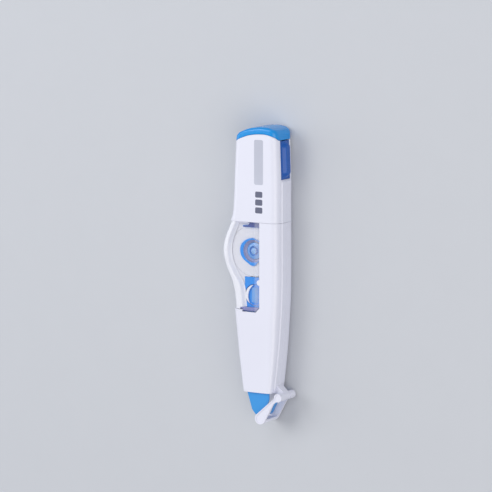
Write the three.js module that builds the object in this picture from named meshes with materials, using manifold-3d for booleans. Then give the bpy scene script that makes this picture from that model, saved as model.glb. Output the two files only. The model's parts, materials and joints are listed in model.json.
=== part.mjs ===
// Refillable correction tape roller with a swinging head guard, a clear window and a pull-off rear case.
// Millimetres. +Z is up: the roller lies on its flat back. +Y points to the rear end, -Y to the tape tip.
// The origin is on the back face, under the axis of the supply reel.
import * as THREE from "three";
import { mergeVertices } from "three/addons/utils/BufferGeometryUtils.js";
import Module from "manifold-3d";

const wasm = await Module();
wasm.setup();

// ---- Driving dimensions ----
const THICKNESS = 13.6; // back face to front face
const WALL = 1.2; // wall of every case shell
const EDGE_RADIUS = 3; // rounding of the case's long edges
const NOSE_RADIUS = 1.6; // the same at the mouth of the nose
const NOSE_TAPER = 0.85; // how much front and back each close in towards the nose
const NOSE_START = -22; // where both of those begin
const MIDPLANE = THICKNESS / 2; // where the front and back shells part
const JOINT_GAP = 0.1; // between pieces that touch
const RUN_GAP = 0.3; // between pieces that move past each other

const NOSE_END = -56.05; // mouth of the nose, where the tip comes out
const SEAM = 11.7; // where the rear case meets the lower case
const REAR_END = 43.2; // rear edge of the white rear case, before it is bowed
const CAP_END = 46; // flat end of the blue end cap, before it is bowed
const CAP_ROUNDING = 1.2; // rounding of the cap's end
const BOW_START = 36; // where the rear end's bulge begins
// How far the rear end bulges across its width, from the left wall (-1) to the right wall (1).
const BOW = [[-1, -0.3], [-0.76, 0.9], [-0.33, 2.43], [0.17, 3.12], [0.57, 3], [0.9, 1.95], [1, 0.8]];

const TAPE_WIDTH = 6; // the correction tape
const TAPE_BACK = 4.6; // back edge of the tape on both reels
const TAPE_FRONT = TAPE_BACK + TAPE_WIDTH;
const RIBBON = 0.3; // thickness of the drawn tape strand

// Left and right walls of the case, as [y, x] points that a smooth curve joins.
const LEFT_WALL = [
  [-60, -3.8], [-50, -5.2], [-42, -6.3], [-28, -7.9], [-17, -9.05], [-12.5, -10.2], [-8, -12.25],
  [-4, -13.75], [0, -14.2], [4, -13.6], [8.5, -11.75], [13.5, -9.6], [18, -9], [30, -8.45], [43, -7.8],
  [50, -7.2],
];
const RIGHT_WALL = [
  [-60, 7.9], [-42, 10.1], [-30, 11.1], [-15, 11.85], [20, 11.85], [30, 11.8], [43, 11.3], [50, 10.9],
];
const STRIP = { back: 3.4, front: 10.2, proud: 0.42, top: 28.3 }; // raised strip along the right wall

// Reels and gears. Both reels turn the same way, because an idler joins their gears.
const SUPPLY = { x: 0, y: 0, flangeRadius: 10, tapeRadius: 9.3, coreRadius: 4.65, boreRadius: 4.2 };
// The take-up drum has a cup in its front end, which widens from boreRadius to its lip.
const TAKE_UP = { x: 0.4, y: -17.4, flangeRadius: 5.3, linerRadius: 4.9, coreRadius: 4.15, boreRadius: 3.45 };
const GEAR_MODULE = 0.4;
const SUPPLY_TEETH = 42;
const IDLER_TEETH = 16;
const TAKE_UP_TEETH = 17;
const MESH_SLACK = 0.05; // added to each gear centre distance
const GEAR_BACK = 2.6;
const GEAR_FRONT = 3.9;
const FLANGE_BACK = 4.1; // back face of both reels
const FLOOR_BACK = 1.5; // the cartridge frame's floor plate
const FLOOR_FRONT = 2.4;
const ARM_FRONT = 3.5; // the floor steps forward into the tapered nose
const COVER_BACK = 10.85; // plate over the take-up reel
const COVER_FRONT = 11.35;
const SUPPLY_POST_RADIUS = 1.3;
const TAKE_UP_POST_RADIUS = 1;
const IDLER_POST_RADIUS = 0.8;
const BORE_CLEARANCE = 0.12;

// Window in the front of the lower case.
const WINDOW = {
  right: 3.7, low: -23.9, lowLeft: -23.1, lowLeftEdge: -4, chamfer: 1.6, bumpY: -12.1, bumpRadius: 1.15,
};
// Inner edge of the white band under the clear rim, as [y, x].
const BEZEL_EDGE = [
  [-26, -2.7], [-22.2, -2.95], [-17.2, -3.4], [-14.2, -3.8], [-12, -4.7], [-9.9, -6.1], [-8, -7.3],
  [-5.9, -8.4], [-3.7, -9.2], [-1, -9.7], [1.8, -9.65], [4.6, -9.05], [7.5, -7.85], [9.5, -6.9], [12, -6.2],
];

// Head guard: a yoke that turns about a pin beside the nose.
const PIVOT = { x: 11.6, y: -57.4 };
const GUARD_END = { x: 3.6, y: -66.35, radius: 2.25 };
const GUARD_KNUCKLE = 1.65;
const GUARD_CHEEK = 1; // thickness of each cheek
const GUARD_BACK = 0.9;
const GUARD_FRONT = THICKNESS - GUARD_BACK;
const HINGE_PIN_RADIUS = 0.65;
const PIN_COVER = 0.6; // what the guard leaves over each end of the pin
const LUG = { back: 4.8, front: 8.8, radius: 1.5 };

// Button in the side of the rear case.
const BUTTON = { low: 28.7, back: 3.4, front: 10.2, ribBack: 4.4, ribFront: 9.2, ribHeight: 1.6 };
const LATCH = { back: 4.5, front: 9.1, inner: 8.6, outer: 9.6, low: 19 }; // the button's sprung arm

const WHITE = { color: 0xe6e8f6, roughness: 0.35, metalness: 0 };
const CLEAR = { color: 0xdfe6f2, roughness: 0.1, metalness: 0, transparent: true, opacity: 0.35 };
const BLUE = { color: 0x1f8fe8, roughness: 0.3, metalness: 0 };
const DEEP_BLUE = { color: 0x2a6ec4, roughness: 0.35, metalness: 0 };
const TAPE_WHITE = { color: 0xd6d8e6, roughness: 0.8, metalness: 0 };
const FROSTED = { color: 0xd4d7e4, roughness: 0.5, metalness: 0 };
const STEEL = { color: 0xb8bcc2, roughness: 0.3, metalness: 1 };

// ---- Solids ----
function solidOf(geometry) {
  const bare = geometry.index ? geometry.toNonIndexed() : geometry.clone();
  bare.deleteAttribute("normal");
  bare.deleteAttribute("uv");
  const merged = mergeVertices(bare, 1e-4);
  return new wasm.Manifold(
    new wasm.Mesh({
      numProp: 3,
      vertProperties: merged.attributes.position.array,
      triVerts: new Uint32Array(merged.index.array),
    }),
  );
}

function geometryOf(solid) {
  const mesh = solid.getMesh();
  const geometry = new THREE.BufferGeometry();
  geometry.setAttribute("position", new THREE.BufferAttribute(new Float32Array(mesh.vertProperties), 3));
  geometry.setIndex(new THREE.BufferAttribute(new Uint32Array(mesh.triVerts), 1));
  const flat = geometry.toNonIndexed();
  flat.computeVertexNormals();
  return flat;
}

const join = (first, ...rest) => rest.reduce((sum, next) => sum.add(next), first);
const cut = (first, ...rest) => rest.reduce((left, next) => left.subtract(next), first);

function box(x0, x1, y0, y1, z0, z1) {
  const geometry = new THREE.BoxGeometry(x1 - x0, y1 - y0, z1 - z0);
  return solidOf(geometry.translate((x0 + x1) / 2, (y0 + y1) / 2, (z0 + z1) / 2));
}

function rod(x, y, radius, z0, z1, sides = 24) {
  const geometry = new THREE.CylinderGeometry(radius, radius, z1 - z0, sides).rotateX(Math.PI / 2);
  return solidOf(geometry.translate(x, y, (z0 + z1) / 2));
}

// A prism between two heights, from a list of [x, y] points or from a THREE.Shape.
function prism(outline, z0, z1, curveSegments = 8) {
  const shape = Array.isArray(outline)
    ? new THREE.Shape(outline.map(([x, y]) => new THREE.Vector2(x, y)))
    : outline;
  const geometry = new THREE.ExtrudeGeometry(shape, { depth: z1 - z0, bevelEnabled: false, curveSegments });
  return solidOf(geometry.translate(0, 0, z0));
}

function cone(x, y, backRadius, frontRadius, z0, z1, sides = 32) {
  const geometry = new THREE.CylinderGeometry(frontRadius, backRadius, z1 - z0, sides).rotateX(Math.PI / 2);
  return solidOf(geometry.translate(x, y, (z0 + z1) / 2));
}

const ring = (x, y, inner, outer, z0, z1, sides = 32) =>
  rod(x, y, outer, z0, z1, sides).subtract(rod(x, y, inner, z0 - 1, z1 + 1, sides));

// ---- The case's outer form ----
// A smooth curve through points, whose second coordinate is a function of the first.
function smoothCurve(points) {
  const slopes = points.map((_, i) => {
    const before = points[Math.max(i - 1, 0)];
    const after = points[Math.min(i + 1, points.length - 1)];
    return (after[1] - before[1]) / (after[0] - before[0]);
  });
  return (y) => {
    let i = 0;
    while (i < points.length - 2 && y > points[i + 1][0]) i++;
    const [y0, x0] = points[i];
    const [y1, x1] = points[i + 1];
    const span = y1 - y0;
    const t = THREE.MathUtils.clamp((y - y0) / span, 0, 1);
    const [t2, t3] = [t * t, t * t * t];
    return (
      (2 * t3 - 3 * t2 + 1) * x0 +
      (t3 - 2 * t2 + t) * span * slopes[i] +
      (3 * t2 - 2 * t3) * x1 +
      (t3 - t2) * span * slopes[i + 1]
    );
  };
}

const leftWall = smoothCurve(LEFT_WALL);
const rightWall = smoothCurve(RIGHT_WALL);
const bezelEdge = smoothCurve(BEZEL_EDGE);
const bow = smoothCurve(BOW);

const noseShare = (y) => THREE.MathUtils.smoothstep(-y, -NOSE_START, -NOSE_END);

// The rounded cross-section at one y, as [x, z] points, drawn in by inset.
// Its front and back edges have acrossSteps parts, so that a bowed end can follow them.
function section(y, inset, cornerSteps, acrossSteps) {
  const radius = Math.max(THREE.MathUtils.lerp(EDGE_RADIUS, NOSE_RADIUS, noseShare(y)) - inset, 0.4);
  const taper = NOSE_TAPER * noseShare(y);
  const low = [leftWall(y) + inset + radius, inset + taper + radius];
  const high = [rightWall(y) - inset - radius, THICKNESS - inset - taper - radius];
  const corner = (x, z, quarter) =>
    Array.from({ length: cornerSteps + 1 }, (_, k) => {
      const angle = (quarter + k / cornerSteps) * (Math.PI / 2);
      return [x + radius * Math.cos(angle), z + radius * Math.sin(angle)];
    });
  const across = (from, to, z) =>
    Array.from({ length: acrossSteps - 1 }, (_, k) => [
      THREE.MathUtils.lerp(from, to, (k + 1) / acrossSteps), z,
    ]);
  return [
    ...corner(high[0], high[1], 0),
    ...across(high[0], low[0], high[1] + radius),
    ...corner(low[0], high[1], 1),
    ...corner(low[0], low[1], 2),
    ...across(low[0], high[0], low[1] - radius),
    ...corner(high[0], low[1], 3),
  ];
}

// The rear end bulges rearwards at the middle of its width.
function bowed(x, y) {
  const rise = THREE.MathUtils.smoothstep(y, BOW_START, REAR_END);
  const middle = (leftWall(y) + rightWall(y)) / 2;
  const half = (rightWall(y) - leftWall(y)) / 2;
  return y + rise * bow(THREE.MathUtils.clamp((x - middle) / half, -1, 1));
}

// A closed solid through sections at the given [y, inset] stations.
function loft(stations, cornerSteps = 3) {
  const isBowed = stations[stations.length - 1][0] > BOW_START;
  const rings = stations.map(([y, inset]) => section(y, inset, cornerSteps, isBowed ? 7 : 1));
  const count = rings[0].length;
  const points = rings.flatMap((outline, i) => outline.map(([x, z]) => [x, bowed(x, stations[i][0]), z]));
  const faces = [];
  for (let i = 0; i + 1 < rings.length; i++)
    for (let k = 0; k < count; k++) {
      const [a, b] = [i * count + k, i * count + ((k + 1) % count)];
      faces.push([a, a + count, b], [b, a + count, b + count]);
    }
  const last = (rings.length - 1) * count;
  for (let k = 1; k + 1 < count; k++) faces.push([0, k, k + 1], [last, last + k + 1, last + k]);
  const geometry = new THREE.BufferGeometry();
  const corners = faces.flat().flatMap((index) => points[index]);
  geometry.setAttribute("position", new THREE.Float32BufferAttribute(corners, 3));
  return solidOf(geometry);
}

// The case's form from one y to another, with more sections where its sides bend.
const BENDS = [
  -50, -43, -36, -29, -22, -17, -13, -10, -7, -4, -1, 2, 5, 8, 11, 14, 18, 24, 30, 36, 38, 40, 42,
];
function form(inset, from, to) {
  const between = BENDS.filter((y) => y > from + 0.5 && y < to - 0.5);
  return loft([from, ...between, to].map((y) => [y, inset]));
}

function hollow(from, to, wall = WALL, inset = 0) {
  return form(inset, from, to).subtract(form(inset + wall, from - 1, to + 1));
}

// The raised strip along the right wall, with a chamfered upper end.
function sideStrip(from, to, topChamfer) {
  const ys = [from, ...BENDS.filter((y) => y > from + 1 && y < to - 1), to];
  const outer = ys.map((y, i) => [
    rightWall(y) + STRIP.proud, i === ys.length - 1 ? y - topChamfer : y,
  ]);
  const inner = ys.map((y) => [rightWall(y) - WALL / 2, y]).reverse();
  return prism([...outer, ...inner], STRIP.back, STRIP.front);
}

const FAR = 80;
const above = (z) => box(-FAR, FAR, -FAR, FAR, z, FAR);
const below = (z) => box(-FAR, FAR, -FAR, FAR, -FAR, z);

// ---- Lower case, window cover and bezel ----
// The clear cover's region on the front, reaching round the left side down to the midplane.
function windowRegion(grow) {
  const right = WINDOW.right + grow;
  const low = WINDOW.low - grow;
  const region = prism(
    [
      [-FAR, WINDOW.lowLeft - grow], [WINDOW.lowLeftEdge, WINDOW.lowLeft - grow], [WINDOW.lowLeftEdge, low],
      [right - WINDOW.chamfer, low], [right, low + WINDOW.chamfer], [right, SEAM + 1], [-FAR, SEAM + 1],
    ],
    MIDPLANE - FAR,
    FAR,
  );
  return region.subtract(rod(right, WINDOW.bumpY, WINDOW.bumpRadius, -FAR, FAR, 16));
}

// The sleeve that the rear case pushes over, with a tongue that the button's arm latches behind.
function spigot() {
  const neck = hollow(SEAM - 1.3, SEAM, 1.15, WALL - 0.1);
  const sleeve = hollow(SEAM - 0.3, SEAM + 3.8, 0.9, WALL + 0.15);
  const windowGap = box(-FAR, WINDOW.right + 0.5, SEAM - 2, SEAM + 6, MIDPLANE, FAR);
  const tongue = box(10, 10.5, SEAM + 3, 25, LATCH.back - 0.4, LATCH.front + 0.4);
  const tongueWindow = box(9, 12, LATCH.low + 0.6, LATCH.low + 3.4, LATCH.back - 0.2 + 1, LATCH.front - 0.8);
  return join(cut(join(neck, sleeve), windowGap), cut(tongue, tongueWindow));
}

function guardLug() {
  const root = new THREE.Shape();
  root.moveTo(7.6, -49.5);
  root.lineTo(PIVOT.x + LUG.radius * 0.8, PIVOT.y + LUG.radius * 0.6);
  root.lineTo(PIVOT.x - LUG.radius * 0.8, PIVOT.y - LUG.radius * 0.6);
  root.lineTo(7.9, NOSE_END + 0.2);
  const arm = join(prism(root, LUG.back, LUG.front), rod(PIVOT.x, PIVOT.y, LUG.radius, LUG.back, LUG.front));
  return arm.subtract(rod(PIVOT.x, PIVOT.y, HINGE_PIN_RADIUS + 0.1, 0, THICKNESS));
}

const lowerShell = join(hollow(NOSE_END, SEAM), sideStrip(NOSE_END, SEAM, 0), spigot());
const cavity = form(WALL, NOSE_END - 1, SEAM + 1);
const lug = guardLug().subtract(cavity);
const lugClearance = guardLug().subtract(form(0.4, NOSE_END - 1, SEAM));

function lowerCaseFront() {
  const shell = lowerShell.intersect(above(MIDPLANE + JOINT_GAP / 2));
  const sill = box(7, 16, -60, -48, LUG.back - 0.3, LUG.front + 0.3).intersect(lugClearance);
  return cut(shell, windowRegion(JOINT_GAP), sill, lug);
}

function lowerCaseBack() {
  const shell = lowerShell.intersect(below(MIDPLANE - JOINT_GAP / 2));
  const outside = lug.subtract(form(-0.05, NOSE_END - 1, SEAM).intersect(above(MIDPLANE - JOINT_GAP / 2)));
  return join(shell, outside);
}

function windowCover() {
  const skin = hollow(WINDOW.low - 2, SEAM - JOINT_GAP, WALL - 0.05);
  return skin.intersect(above(MIDPLANE + JOINT_GAP / 2)).intersect(windowRegion(0)).subtract(spigot());
}

// White lining that shows through the clear rim as a band.
function windowBezel() {
  const [low, high] = [WINDOW.lowLeft + 0.4, SEAM - 1.6];
  const skin = hollow(low, high, 0.7, WALL + 0.15).intersect(above(MIDPLANE + 0.2));
  const steps = 16;
  const edge = Array.from({ length: steps + 1 }, (_, i) => {
    const y = low - 1 + ((high - low + 2) * i) / steps;
    return [bezelEdge(y), y];
  });
  return skin.intersect(prism([...edge, [-FAR, high + 1], [-FAR, low - 1]], 0, FAR));
}

// ---- Rear case, end cap and button ----
const buttonHole = (grow) =>
  box(9.6, FAR, BUTTON.low - grow, REAR_END + 4, BUTTON.back - grow, BUTTON.front + grow);

const rearShell = () => join(hollow(SEAM + 0.15, REAR_END), sideStrip(SEAM + 0.15, STRIP.top, 0.45));

const rearCaseFront = () =>
  rearShell().intersect(above(MIDPLANE + JOINT_GAP / 2)).subtract(buttonHole(0.15));

const rearCaseBack = () =>
  rearShell().intersect(below(MIDPLANE - JOINT_GAP / 2)).subtract(buttonHole(0.15));

function endCap() {
  const steps = 4;
  const rounded = Array.from({ length: steps + 1 }, (_, i) => {
    const angle = (i / steps) * (Math.PI / 2);
    return [CAP_END - CAP_ROUNDING * (1 - Math.sin(angle)), CAP_ROUNDING * (1 - Math.cos(angle))];
  });
  const dome = loft([[REAR_END + JOINT_GAP, 0], ...rounded]);
  const plug = hollow(REAR_END - 3, REAR_END + 0.4, 0.9, WALL + JOINT_GAP);
  const plugRoom = box(8.4, FAR, 0, FAR, 0, THICKNESS);
  return join(dome, plug.subtract(plugRoom));
}

function releaseButton() {
  const from = BUTTON.low;
  const to = REAR_END - 0.25;
  const skin = hollow(from, to, WALL + 0.5).intersect(buttonHole(0));
  const flange = hollow(from - 0.9, to - 3, 0.4, WALL + 0.15)
    .intersect(box(9.4, FAR, 0, FAR, BUTTON.back - 0.6, BUTTON.front + 0.6));
  const height = BUTTON.ribHeight;
  const rib = new THREE.Shape();
  rib.moveTo(rightWall(to) - 0.6, to - 0.3);
  rib.quadraticCurveTo(rightWall(41) + height, 42.4, rightWall(39) + height, 38.5);
  rib.lineTo(rightWall(33) + height, 33);
  rib.quadraticCurveTo(rightWall(31) + height, from + 0.9, rightWall(from) - 0.3, from + 0.05);
  const arm = box(LATCH.inner, LATCH.outer, LATCH.low, 36, LATCH.back, LATCH.front);
  const bridge = box(LATCH.inner, 10.95, 33.5, 36, LATCH.back, LATCH.front);
  const tooth = prism(
    [[9.5, LATCH.low], [9.85, LATCH.low + 1], [9.85, LATCH.low + 2], [9.5, LATCH.low + 2.2]],
    LATCH.back + 1, LATCH.front - 1,
  );
  return join(skin, flange, prism(rib, BUTTON.ribBack, BUTTON.ribFront, 5), arm, bridge, tooth);
}

// ---- Cartridge ----
// The idler sits beside the line between the two reels, in mesh with both gears.
const pitchRadius = (teeth) => (GEAR_MODULE * teeth) / 2;

function idlerCentre() {
  const apart = Math.hypot(TAKE_UP.x - SUPPLY.x, TAKE_UP.y - SUPPLY.y);
  const fromSupply = pitchRadius(SUPPLY_TEETH) + pitchRadius(IDLER_TEETH) + MESH_SLACK;
  const fromTakeUp = pitchRadius(TAKE_UP_TEETH) + pitchRadius(IDLER_TEETH) + MESH_SLACK;
  const along = (apart ** 2 + fromSupply ** 2 - fromTakeUp ** 2) / (2 * apart);
  const aside = Math.sqrt(fromSupply ** 2 - along ** 2);
  const ux = (TAKE_UP.x - SUPPLY.x) / apart;
  const uy = (TAKE_UP.y - SUPPLY.y) / apart;
  return { x: SUPPLY.x + ux * along - uy * aside, y: SUPPLY.y + uy * along + ux * aside };
}
const IDLER = idlerCentre();

const angleTo = (from, to) => Math.atan2(to.y - from.y, to.x - from.x);

// The angle of gear b's first tooth that puts it in mesh with gear a, whose first tooth is at angleA.
function meshAngle(a, teethA, angleA, b, teethB) {
  const toB = angleTo(a, b);
  const phaseA = ((toB - angleA) * teethA) / (2 * Math.PI);
  return toB + Math.PI - ((0.5 - phaseA) * 2 * Math.PI) / teethB;
}

function gear(centre, teeth, firstTooth, z0, z1) {
  const pitch = pitchRadius(teeth);
  const tip = pitch + 0.8 * GEAR_MODULE;
  const root = pitch - 1.15 * GEAR_MODULE;
  const toothAngle = (2 * Math.PI) / teeth;
  const outline = [];
  for (let i = 0; i < teeth; i++)
    for (const [radius, share] of [[root, -0.34], [tip, -0.13], [tip, 0.13], [root, 0.34]]) {
      const angle = firstTooth + (i + share) * toothAngle;
      outline.push([centre.x + radius * Math.cos(angle), centre.y + radius * Math.sin(angle)]);
    }
  return prism(outline, z0, z1);
}

const supplyAngle = 0;
const idlerAngle = meshAngle(SUPPLY, SUPPLY_TEETH, supplyAngle, IDLER, IDLER_TEETH);
const takeUpAngle = meshAngle(IDLER, IDLER_TEETH, idlerAngle, TAKE_UP, TAKE_UP_TEETH);

const GUIDES = [{ x: 7.2, y: -43 }, { x: -2.4, y: -44.5 }];
const GUIDE_RADIUS = 1;
const TAIL = { from: 10.2, to: 31, left: -5.6, right: 7.3, back: 2.75, front: 10.8 };
const TAB = { neck: -0.7, right: 3.4, to: 12.2, back: 11.25, front: 12.1 };
const TAB_OUTLINE = [
  [-4.4, 9.45], [TAB.right, 9.45], [TAB.right, TAB.to], [TAB.neck, TAB.to],
  [-1.1, 11.2], [-2, 10.3], [-4.4, 10.05],
];
const PAWL_PEG = { x: 8, y: -22, radius: 0.5 };
const ARM_START = -24.2; // where the floor steps forward

function frameFloor() {
  const inner = form(WALL + 0.35, -49.9, 10);
  const rear = inner.intersect(box(-FAR, FAR, ARM_START - 1.5, 10, FLOOR_BACK, FLOOR_FRONT));
  const arm = inner.intersect(box(-FAR, FAR, -49.9, ARM_START, FLOOR_FRONT - 0.1, ARM_FRONT));
  const holes = [-30, -37].map((y) => rod(2, y, 2.6, 0, ARM_FRONT + 1, 20));
  return cut(join(rear, arm), ...holes);
}

function framePosts() {
  return [
    rod(SUPPLY.x, SUPPLY.y, SUPPLY_POST_RADIUS, FLOOR_BACK, 10.9),
    cone(SUPPLY.x, SUPPLY.y, SUPPLY_POST_RADIUS, 0.85, 10.85, 11.2, 24),
    rod(SUPPLY.x, SUPPLY.y, 1.9, FLOOR_BACK, GEAR_BACK - 0.1),
    rod(TAKE_UP.x, TAKE_UP.y, TAKE_UP_POST_RADIUS, FLOOR_BACK, 9.7, 20),
    rod(IDLER.x, IDLER.y, IDLER_POST_RADIUS, FLOOR_BACK, GEAR_FRONT + 0.4, 16),
    rod(PAWL_PEG.x, PAWL_PEG.y, PAWL_PEG.radius, FLOOR_BACK, GEAR_FRONT, 12),
    ...GUIDES.map((guide) => rod(guide.x, guide.y, GUIDE_RADIUS, FLOOR_FRONT, TAPE_FRONT + 0.5, 20)),
  ];
}

// The tail runs up into the rear case. A tab on its front covers the rim of the supply reel.
function frameTail() {
  const block = box(TAIL.left, TAIL.right, TAIL.from, TAIL.to, TAIL.back, TAIL.front);
  const room = box(TAIL.left + 1, TAIL.right - 1, TAIL.from + 2, TAIL.to - 1.2, TAIL.back + 1.1, FAR);
  const riser = box(TAB.neck, TAB.right, TAIL.from + 0.4, TAB.to, TAIL.back + 1, TAB.front);
  const tab = prism(TAB_OUTLINE, TAB.back, TAB.front);
  const root = box(TAIL.left, TAIL.right, 9.2, TAIL.from + 1.5, TAIL.back - 0.55, FLOOR_FRONT + 1);
  const foot = box(TAIL.left, TAIL.right, 9.2, 10, FLOOR_BACK, FLOOR_FRONT + 1);
  const reelRoom = rod(SUPPLY.x, SUPPLY.y, SUPPLY.flangeRadius + 0.35, GEAR_FRONT, TAB.back, 48);
  const body = join(cut(block, room), riser, root.intersect(above(FLOOR_FRONT - 0.1)), foot);
  return join(cut(body, reelRoom), tab);
}

const cartridgeFrame = () => join(frameFloor(), frameTail(), ...framePosts());

// A plate over the take-up reel, on four legs, with a round hole for the reel's front end.
const COVER_TOP = -SUPPLY.flangeRadius - 0.35;
const COVER_STEP = { left: -6, leg: -5.2, right: -3.9, from: -14.2, to: -13.2 }; // its upper left corner

function cartridgeCover() {
  const { left, leg, right, from, to } = COVER_STEP;
  const outline = [
    [right, COVER_TOP], [right, to], [leg, from], [left, from], [left, -24.6], [8.3, -24.6], [8.3, COVER_TOP],
  ];
  const plate = prism(outline, COVER_BACK, COVER_FRONT);
  const hole = rod(TAKE_UP.x, TAKE_UP.y, TAKE_UP.coreRadius + 0.15, 0, THICKNESS, 36);
  const legs = [
    [7, 8.2, -12.8, -11.4], [left, leg, from - 1.2, from], [6, 7.2, -23.9, -23.1], [-3.4, -2.2, -23.9, -23.1],
  ];
  const solids = legs.map(([x0, x1, y0, y1]) => box(x0, x1, y0, y1, FLOOR_FRONT + 0.1, COVER_FRONT));
  return join(cut(plate, hole), ...solids);
}

// A frosted plate beside the supply reel's front flange, between it and the left wall.
function cartridgeSidePlate() {
  const { left, leg, right, from, to } = COVER_STEP;
  const low = from + 0.12;
  const steps = 16;
  const wall = Array.from({ length: steps + 1 }, (_, i) => {
    const y = THREE.MathUtils.lerp(SEAM - 0.2, low, i / steps);
    return [leftWall(y) + 2.4, y];
  });
  const corner = [
    [left - 0.1, low], [leg - 0.05, low], [right - 0.12, to + 0.06], [right - 0.12, COVER_TOP + 0.05],
    [-1.5, COVER_TOP + 0.05], [-1.5, 0], [TAB.neck - 0.15, 8], [TAB.neck - 0.15, SEAM - 0.2],
  ];
  const plate = prism([...wall, ...corner], COVER_BACK, COVER_BACK + 0.3);
  return plate.subtract(rod(SUPPLY.x, SUPPLY.y, SUPPLY.flangeRadius + 0.2, 0, FAR, 72));
}

function driveGear() {
  const bore = SUPPLY_POST_RADIUS + BORE_CLEARANCE;
  const disc = gear(SUPPLY, SUPPLY_TEETH, supplyAngle, GEAR_BACK, GEAR_FRONT);
  const sleeve = rod(SUPPLY.x, SUPPLY.y, 2.4, GEAR_BACK, 10.3);
  const collar = join(
    rod(SUPPLY.x, SUPPLY.y, 3.3, 10.1, 10.5, 32),
    cone(SUPPLY.x, SUPPLY.y, 3.3, 2.3, 10.5, 11.1),
  ).subtract(rod(SUPPLY.x, SUPPLY.y, 2.05, 10.3, FAR));
  const lightening = Array.from({ length: 6 }, (_, i) => {
    const angle = ((i + 0.5) * Math.PI) / 3;
    return rod(SUPPLY.x + 5.6 * Math.cos(angle), SUPPLY.y + 5.6 * Math.sin(angle), 1.5, 0, FAR, 14);
  });
  const holes = lightening.map((hole) => hole.intersect(below(GEAR_FRONT + 0.1)));
  return cut(join(disc, sleeve, collar), rod(SUPPLY.x, SUPPLY.y, bore, 0, FAR), ...holes);
}

// A C-shaped spring with three bulges, squeezed between the gear's sleeve and the supply core.
function clutchSpring() {
  const band = ring(SUPPLY.x, SUPPLY.y, 2.55, 3.1, 6, 9, 24);
  const pads = [90, 210, 330].map((degrees) => {
    const angle = THREE.MathUtils.degToRad(degrees);
    return rod(SUPPLY.x + 3.35 * Math.cos(angle), SUPPLY.y + 3.35 * Math.sin(angle), 0.7, 6, 9, 12);
  });
  return cut(join(band, ...pads), box(2, 5, -0.5, 0.5, 5, 10));
}

// Outer radius of the supply core's lobed rim, by angle in degrees.
const hubRadius = smoothCurve([
  [-180, 5.95], [-163, 5.85], [-146, 5.65], [-131, 5.45], [-116, 5.42], [-102, 5.78], [-90, 5.86],
  [-82, 5.76], [-77, 5.5], [-72, 5], [-62, 4.75], [-30, 4.75], [-10, 4.8], [10, 5.1], [30, 5.6], [46, 5.6],
  [58, 5], [68, 4.75], [78, 4.85], [84, 5.05], [92, 5.14], [111, 5.22], [127, 5.42], [145, 5.73],
  [160, 5.95], [180, 5.95],
]);

function supplyCore() {
  const tube = ring(SUPPLY.x, SUPPLY.y, SUPPLY.boreRadius, SUPPLY.coreRadius, FLANGE_BACK, 11.7, 36);
  const outline = Array.from({ length: 72 }, (_, i) => {
    const degrees = -180 + 5 * i;
    const angle = THREE.MathUtils.degToRad(degrees);
    return [SUPPLY.x + hubRadius(degrees) * Math.cos(angle), SUPPLY.y + hubRadius(degrees) * Math.sin(angle)];
  });
  const rim = prism(outline, 11.2, 11.7);
  return cut(join(tube, rim), rod(SUPPLY.x, SUPPLY.y, SUPPLY.boreRadius, 0, FAR, 36));
}

const supplyFlange = (z0, z1) =>
  ring(SUPPLY.x, SUPPLY.y, SUPPLY.coreRadius + 0.05, SUPPLY.flangeRadius, z0, z1, 36);

const tapeRoll = () =>
  ring(SUPPLY.x, SUPPLY.y, SUPPLY.coreRadius + 0.05, SUPPLY.tapeRadius, TAPE_BACK, TAPE_FRONT, 36);

function idlerGear() {
  const disc = gear(IDLER, IDLER_TEETH, idlerAngle, GEAR_BACK, GEAR_FRONT);
  const boss = rod(IDLER.x, IDLER.y, 1.5, GEAR_BACK, GEAR_FRONT + 0.2, 16);
  return cut(join(disc, boss), rod(IDLER.x, IDLER.y, IDLER_POST_RADIUS + BORE_CLEARANCE, 0, FAR, 16));
}

function takeUpGear() {
  const disc = gear(TAKE_UP, TAKE_UP_TEETH, takeUpAngle, GEAR_BACK, GEAR_FRONT);
  const sleeve = rod(TAKE_UP.x, TAKE_UP.y, 1.7, GEAR_BACK, 9, 20);
  const splines = [0, 90, 180, 270].map((degrees) => {
    const angle = THREE.MathUtils.degToRad(degrees);
    const [x, y] = [TAKE_UP.x + 1.75 * Math.cos(angle), TAKE_UP.y + 1.75 * Math.sin(angle)];
    return rod(x, y, 0.3, FLANGE_BACK, 9, 8);
  });
  const bore = rod(TAKE_UP.x, TAKE_UP.y, TAKE_UP_POST_RADIUS + BORE_CLEARANCE, 0, FAR, 20);
  return cut(join(disc, sleeve, ...splines), bore);
}

// The drum that winds up the used liner. Its front end is an open cup.
function takeUpCore() {
  const { x, y, coreRadius, boreRadius, flangeRadius } = TAKE_UP;
  const drum = rod(x, y, coreRadius, FLANGE_BACK, 11.5, 36);
  const flange = rod(x, y, flangeRadius, FLANGE_BACK, FLANGE_BACK + 0.4, 36);
  const cup = cone(x, y, boreRadius, coreRadius - 0.15, 9.5, 11.5, 36);
  const mouth = rod(x, y, coreRadius - 0.15, 11.49, FAR, 36);
  return cut(join(drum, flange), cup, mouth, rod(x, y, 2.2, 0, FAR, 28));
}

// A cap in the cup, with a bar that winds in slack tape.
function takeUpCap() {
  const { x, y, boreRadius } = TAKE_UP;
  const disc = rod(x, y, boreRadius - 0.05, 9.55, 10.05, 32);
  const bar = box(x - 0.5, x + 0.5, y - 2.6, y + 2.6, 10, 11.1);
  return cut(join(disc, bar), rod(x, y, TAKE_UP_POST_RADIUS + BORE_CLEARANCE, 0, 9.8, 20));
}

const usedLinerRoll = () =>
  ring(TAKE_UP.x, TAKE_UP.y, TAKE_UP.coreRadius + 0.05, TAKE_UP.linerRadius, TAPE_BACK, TAPE_FRONT, 32);

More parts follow.
